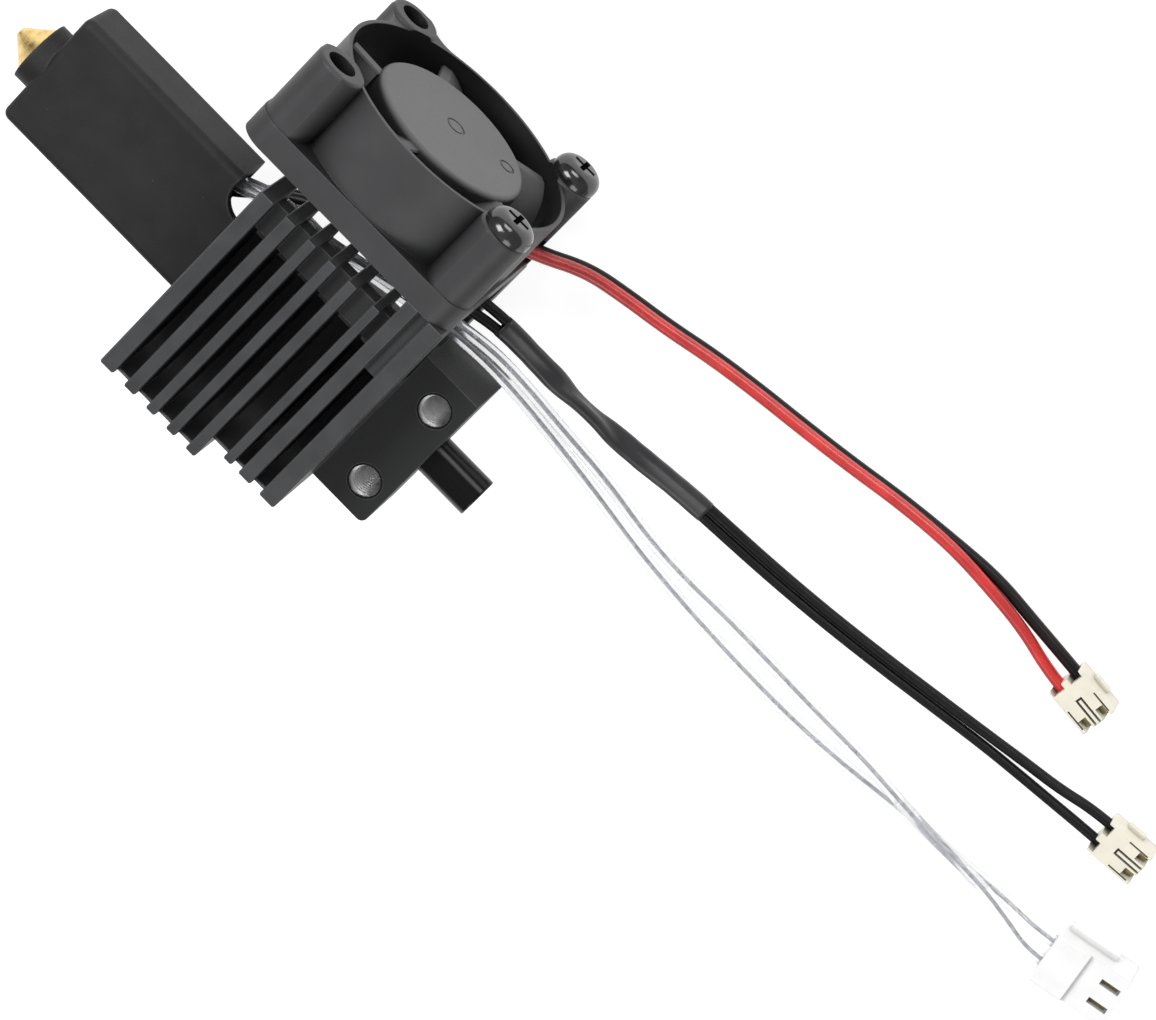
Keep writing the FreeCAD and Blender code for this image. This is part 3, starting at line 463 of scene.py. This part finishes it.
def make_materials():
    """One material for each slot of the record, and one for the heater wires' cores."""
    steel = (0.62, 0.62, 0.64)
    skins = {
        "nozzle_brass": turned_brass(),
        "block_metal": finish("block_metal", (0.72, 0.70, 0.66), 0.35, 1.0),
        "heater_ceramic": finish("ceramic", (0.86, 0.85, 0.80), 0.6),
        "spring_steel": finish("spring_steel", (0.55, 0.55, 0.56), 0.3, 1.0),
        "sensor_steel": finish("sensor_steel", steel, 0.3, 1.0),
        "sock_silicone": silicone(),
        "break_steel": finish("break_steel", steel, 0.25, 1.0, grain_stretch=(1.0, 0.1, 0.1)),
        "black_anodised": anodised(),
        "tube_black": finish("tube_black", (0.0035, 0.0035, 0.004), 0.20, mottle=0.15,
                             grain_mm=0.08, grain_depth=0.001,
                             grain_stretch=(0.1, 1.0, 1.0)).set(Specular_IOR_Level=0.22),
        "insert_steel": threaded_steel(),
        "fan_plastic": fan_plastic(),
        "rotor_plastic": rotor_plastic(),
        "shaft_steel": finish("shaft_steel", steel, 0.2, 1.0, grain_stretch=(1.0, 0.1, 1.0)),
        "bearing_bronze": finish("bearing_bronze", (0.55, 0.40, 0.22), 0.4, 1.0),
        "magnet_ferrite": finish("ferrite", (0.06, 0.06, 0.065), 0.6),
        "lamination_steel": finish("laminations", (0.35, 0.35, 0.36), 0.4, 1.0,
                                   grain_stretch=(0.1, 1.0, 0.1)),
        "winding_copper": finish("windings", (0.60, 0.28, 0.12), 0.35, 1.0, grain_depth=0.02),
        "board_green": finish("board", (0.05, 0.22, 0.10), 0.4),
        "screw_black": shiny_black(),
        "heater_insulation": clear_insulation(),
        "sensor_insulation": wire_jacket("sensor_insulation", (0.004, 0.004, 0.0045), 0.40, 0.22),
        "fan_insulation_red": wire_jacket("red_insulation", (0.54, 0.030, 0.027), 0.26, 0.6),
        "fan_insulation_black": wire_jacket("black_insulation", (0.006, 0.003, 0.003), 0.36, 0.25),
        "sleeve_grey": wire_jacket("sleeve", (0.026, 0.026, 0.028), 0.36, 0.5),
        # The two plugs get painted shade in their slots and recesses.
        "plug_ivory": finish("ivory_plastic", (0.78, 0.74, 0.62), 0.40, mottle=0.05,
                             hollow_shade=0.45, reach_mm=0.8, round_mm=0.06),
        "plug_white": finish("white_plastic", (0.86, 0.86, 0.86), 0.36, mottle=0.03,
                             hollow_shade=0.55, reach_mm=1.0, round_mm=0.06),
        "contact_metal": finish("contact_metal", (0.36, 0.31, 0.16), 0.32, 1.0, mottle=0.3,
                                mottle_mm=0.4),
        "heater_core": finish("heater_core", (0.42, 0.43, 0.46), 0.4, 0.6, mottle=0.3,
                              mottle_mm=0.5),
    }
    return {slot: skin.material for slot, skin in skins.items()}


# ---- leads, in millimetres ----
# The routes are the control points of the solid wires. The thermistor's are moved at the 10th,
# 11th and 12th points, where the pair twists inside its sleeve.
HEATER_ROUTE_A = [
    (-13.65, -3.10, 11.85), (-7.05, -3.10, 11.85), (-2.80, -0.95, 11.80),
    (2.60, -0.75, 11.60), (9.00, 0.10, 11.40), (15.50, 1.55, 11.15),
    (20.50, 1.90, 10.70), (25.00, 1.20, 9.50), (30.00, -0.40, 6.90),
    (36.00, -2.70, 3.30), (42.00, -4.60, 1.10), (47.00, -5.30, 0.60),
    (52.50, -5.60, 0.59), (58.50, -5.75, 0.58), (64.50, -5.65, 0.59),
    (70.00, -5.15, 0.58), (74.50, -4.50, 0.59), (79.00, -3.95, 0.60),
    (82.80, -3.60, 0.75), (86.20, -3.00, 1.15), (89.30, -2.45, 1.80),
    (92.40, -1.87, 2.90), (95.05, -1.31, 2.90),
]
HEATER_ROUTE_B = [
    (-13.65, -3.10, 13.15), (-7.05, -3.10, 13.15), (-2.40, -1.05, 13.20),
    (2.60, -0.30, 12.90), (9.00, 1.00, 12.50), (15.50, 2.60, 11.80),
    (20.50, 3.15, 11.00), (25.00, 2.45, 9.60), (30.00, 0.85, 6.90),
    (36.00, -1.10, 3.30), (42.00, -3.05, 1.10), (47.00, -3.55, 0.60),
    (52.50, -3.35, 0.59), (58.50, -3.40, 0.58), (64.50, -3.50, 0.59),
    (70.50, -3.31, 0.85), (75.50, -3.38, 1.45), (79.50, -3.34, 1.95),
    (83.20, -3.12, 2.15), (86.60, -3.10, 2.42), (89.90, -3.45, 2.75),
    (93.10, -3.98, 2.90), (95.50, -3.47, 2.90),
]
THERMISTOR_ROUTE_A = [
    (-11.05, -4.80, 13.05), (-8.60, -4.80, 13.05), (-6.00, -3.95, 12.28),
    (-3.80, -2.30, 10.78), (0.40, 0.90, 10.40), (5.20, 2.40, 11.50),
    (9.80, 3.20, 12.40), (15.00, 4.10, 11.60), (19.60, 4.55, 9.95),
    (24.50, 3.80, 8.30), (30.00, 3.42, 6.09), (36.00, 2.05, 3.10),
    (41.50, 2.15, 1.50), (46.50, 2.20, 0.85), (52.00, 2.45, 0.53),
    (58.00, 3.05, 0.51), (64.50, 3.95, 0.52), (71.00, 5.00, 0.51),
    (76.80, 5.95, 0.52), (81.00, 6.55, 0.75), (84.60, 7.08, 1.08),
    (87.95, 7.60, 1.40), (90.34, 7.81, 1.40),
]
THERMISTOR_ROUTE_B = [
    (-11.05, -4.80, 11.95), (-8.60, -4.80, 11.95), (-6.00, -4.00, 11.13),
    (-3.90, -2.30, 9.62), (0.20, 0.60, 9.20), (5.50, 1.50, 9.30),
    (10.40, 3.70, 9.90), (15.00, 5.20, 10.35), (19.60, 5.65, 9.85),
    (24.50, 4.86, 8.30), (30.00, 2.99, 5.12), (36.00, 3.11, 2.90),
    (41.50, 3.21, 1.50), (46.50, 3.26, 0.85), (52.00, 3.51, 0.53),
    (58.00, 4.11, 0.51), (64.50, 5.01, 0.52), (71.00, 6.07, 0.51),
    (76.80, 7.05, 0.52), (80.60, 7.80, 0.72), (84.20, 8.50, 1.05),
    (87.77, 9.60, 1.40), (90.16, 9.81, 1.40),
]
FAN_ROUTE_RED = [
    (8.65, 9.15, 9.15), (13.20, 9.30, 7.20), (17.40, 10.20, 5.40), (21.30, 11.75, 3.68),
    (25.60, 12.30, 2.72), (30.00, 12.80, 2.13), (34.60, 13.75, 1.82), (39.50, 14.55, 1.76),
    (44.50, 15.20, 1.76), (50.00, 16.00, 1.76), (55.80, 17.05, 1.76), (61.60, 17.65, 1.76),
    (66.60, 17.45, 1.72), (71.40, 16.95, 1.55), (75.56, 15.83, 1.40), (77.75, 15.64, 1.40),
]
FAN_ROUTE_BLACK = [
    (8.65, 9.15, 7.90), (13.20, 9.30, 5.95), (17.40, 10.20, 4.15), (21.30, 11.75, 2.48),
    (25.60, 12.30, 1.53), (30.00, 12.80, 0.94), (34.60, 13.75, 0.63), (39.50, 14.55, 0.59),
    (44.50, 15.20, 0.59), (50.00, 16.00, 0.59), (55.80, 17.05, 0.59), (61.60, 17.75, 0.59),
    (66.60, 18.25, 0.65), (71.40, 18.00, 1.00), (75.74, 17.83, 1.40), (77.93, 17.64, 1.40),
]
SOCK_EXIT = (-5.0, -2.4, 12.0)
FAN_EXIT = (17.2, 10.2, 5.0)
HEATER_WIRE = 1.15
THERMISTOR_WIRE = 1.0
FAN_WIRE = 1.15
HEATER_CORE = 0.32
LEAD_STEPS = 12              # points between two of the route's
LEAD_ROUNDNESS = 6
LEADS = [                    # node, route, diameter, slot, exit, length, plug
    ("heater_wire_a", HEATER_ROUTE_A, HEATER_WIRE, "heater_insulation",
     SOCK_EXIT, 113, "heater_plug"),
    ("heater_wire_b", HEATER_ROUTE_B, HEATER_WIRE, "heater_insulation",
     SOCK_EXIT, 113, "heater_plug"),
    ("thermistor_wire_a", THERMISTOR_ROUTE_A, THERMISTOR_WIRE, "sensor_insulation",
     SOCK_EXIT, 107, "thermistor_plug"),
    ("thermistor_wire_b", THERMISTOR_ROUTE_B, THERMISTOR_WIRE, "sensor_insulation",
     SOCK_EXIT, 107, "thermistor_plug"),
    ("fan_wire_red", FAN_ROUTE_RED, FAN_WIRE, "fan_insulation_red",
     FAN_EXIT, 71, "fan_plug"),
    ("fan_wire_black", FAN_ROUTE_BLACK, FAN_WIRE, "fan_insulation_black",
     FAN_EXIT, 71, "fan_plug"),
]


def make_lead(name, route, diameter):
    """A round wire along a smooth curve whose control points are the route, in millimetres."""
    data = bpy.data.curves.new(name, "CURVE")
    data.dimensions = "3D"
    data.resolution_u = LEAD_STEPS
    data.bevel_depth = diameter / 2 * MM
    data.bevel_resolution = LEAD_ROUNDNESS
    data.use_fill_caps = True
    spline = data.splines.new("NURBS")
    spline.points.add(len(route) - 1)
    for point, place in zip(spline.points, route):
        point.co = (*(Vector(place) * MM), 1.0)
    spline.order_u = 3
    spline.use_endpoint_u = True
    lead = bpy.data.objects.new(name, data)
    bpy.context.collection.objects.link(lead)
    return lead


def read_line(route):
    """Points along the smooth curve of a route, read from its spline with no thickness."""
    guide = make_lead("guide", route, 0.0)
    mesh = bpy.data.meshes.new_from_object(guide)
    points = [vertex.co.copy() for vertex in mesh.vertices]
    bpy.data.objects.remove(guide)
    bpy.data.meshes.remove(mesh)
    return points


def ride(piece, material):
    """Gives a piece its material and its place on the hotend."""
    piece.data.materials.append(material)
    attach(piece, "hotend")
    return piece


def mesh_from_rings(name, rings, capped, smooth):
    """A closed mesh through rings of points: capped, or with its last ring joined to its first."""
    work = bmesh.new()
    loops = [[work.verts.new(point) for point in ring] for ring in rings]
    following = loops[1:] if capped else loops[1:] + loops[:1]
    count = len(rings[0])
    for first, second in zip(loops, following):
        for index in range(count):
            after = (index + 1) % count
            work.faces.new((first[index], first[after], second[after], second[index]))
    if capped:
        work.faces.new(loops[0][::-1])
        work.faces.new(loops[-1])
    bmesh.ops.recalc_face_normals(work, faces=work.faces)
    for face in work.faces:
        face.smooth = smooth
    mesh = bpy.data.meshes.new(name)
    work.to_mesh(mesh)
    work.free()
    piece = bpy.data.objects.new(name, mesh)
    bpy.context.collection.objects.link(piece)
    return piece


def sleeve_section(scale, ripple):
    """The sleeve's flat outline in millimetres, pinched in the middle between the two wires."""
    points = []
    for step in range(SLEEVE_SIDES):
        angle = math.tau * step / SLEEVE_SIDES
        c, s = math.cos(angle), math.sin(angle)
        pinch = 1.0 - SLEEVE_PINCH * math.exp(-(c / SLEEVE_PINCH_SPREAD) ** 2)
        x = math.copysign(abs(c) ** SLEEVE_ROUNDING[0], c) * SLEEVE_WIDTH / 2 * scale * ripple
        y = math.copysign(abs(s) ** SLEEVE_ROUNDING[1], s) * SLEEVE_HEIGHT / 2 * scale * pinch
        points.append((x, y))
    return points


def make_sleeve(materials):
    """A flat heat-shrink sleeve that follows the two thermistor wires as they twist."""
    first, second = read_line(THERMISTOR_ROUTE_A), read_line(THERMISTOR_ROUTE_B)
    pairs = []
    for point in first:
        if SLEEVE_START * MM <= point.x <= SLEEVE_END * MM:
            partner = min(second, key=lambda other: abs(other.x - point.x))
            pairs.append(((point + partner) / 2, partner - point))
    outer, inner = [], []
    for index, (centre, across) in enumerate(pairs):
        before, after = pairs[max(index - 1, 0)][0], pairs[min(index + 1, len(pairs) - 1)][0]
        tangent = (after - before).normalized()
        wide = (across - tangent * across.dot(tangent)).normalized()
        high = tangent.cross(wide)
        ripple = 1.0 + sum(depth * math.sin(index * turn) for depth, turn in SLEEVE_RIPPLES)
        for ring, scale in ((outer, 1.0), (inner, SLEEVE_INSIDE)):
            section = sleeve_section(scale, ripple)
            ring.append([centre + (wide * x + high * y) * MM for x, y in section])
    rings = outer + inner[::-1]
    sleeve = mesh_from_rings("thermistor_sleeve_flat", rings, capped=False, smooth=True)
    ride(sleeve, materials["sleeve_grey"])
    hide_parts("thermistor_sleeve")
    return sleeve


def make_heater_core(name, route, materials):
    """The stranded conductor that shows through a heater wire's insulation."""
    core = make_lead(name, route, HEATER_CORE)
    return ride(core, materials["heater_core"])


def make_leads(materials):
    """The six flexible wires, with their sleeve and the heater wires' cores."""
    sleeve = make_sleeve(materials)
    extras = {
        "heater_wire_a": make_heater_core("heater_core_a", HEATER_ROUTE_A, materials),
        "heater_wire_b": make_heater_core("heater_core_b", HEATER_ROUTE_B, materials),
        "thermistor_wire_a": sleeve,
        "thermistor_wire_b": sleeve,
    }
    for node, route, diameter, slot, exit_place, length, plug in LEADS:
        lead = make_lead(node + "_flex", route, diameter)
        ride(lead, materials[slot])
        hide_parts(node)


# ---- threads in the two inserts ----
def make_threads(materials):
    """A raised helix inside each insert: the crests of an M3 thread."""
    low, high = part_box("thread_inserts")
    root = INSERT_BORE_R + THREAD_ROOT
    for side, name in ((-1, "insert_thread_left"), (1, "insert_thread_right")):
        x = (low.x + high.x) / 2 / MM
        y = (low.y + high.y) / 2 / MM + side * INSERT_SPACING / 2
        start = low.z / MM + THREAD_INSET
        turns = (high.z - low.z) / MM / THREAD_PITCH - THREAD_TURNS_SHORT
        steps = int(turns * THREAD_STEPS)
        rings = []
        for step in range(steps + 1):
            angle = math.tau * step / THREAD_STEPS
            z = start + THREAD_PITCH * step / THREAD_STEPS
            fade = min(1.0, step / THREAD_FADE_STEPS, (steps - step) / THREAD_FADE_STEPS)
            crest = INSERT_BORE_R - THREAD_DEPTH * max(fade, THREAD_FADE_LEAST)
            section = (
                (root, -THREAD_ROOT_HALF), (crest, -THREAD_CREST_HALF),
                (crest, THREAD_CREST_HALF), (root, THREAD_ROOT_HALF),
            )
            rings.append([
                Vector((x + r * math.cos(angle), y + r * math.sin(angle), z + dz)) * MM
                for r, dz in section
            ])
        thread = mesh_from_rings(name, rings, capped=True, smooth=False)
        ride(thread, materials["insert_steel"])


# ---- the whole scene ----
make_camera()
make_studio()
make_floor()
materials = make_materials()
make_leads(materials)
make_threads(materials)

slot_of = {part["node"]: part["material_slot"] for part in frame["record"]["subparts"]}
for node, piece in frame["nodes"].items():
    for index in range(len(piece.material_slots)):
        piece.material_slots[index].material = materials[slot_of[node]]
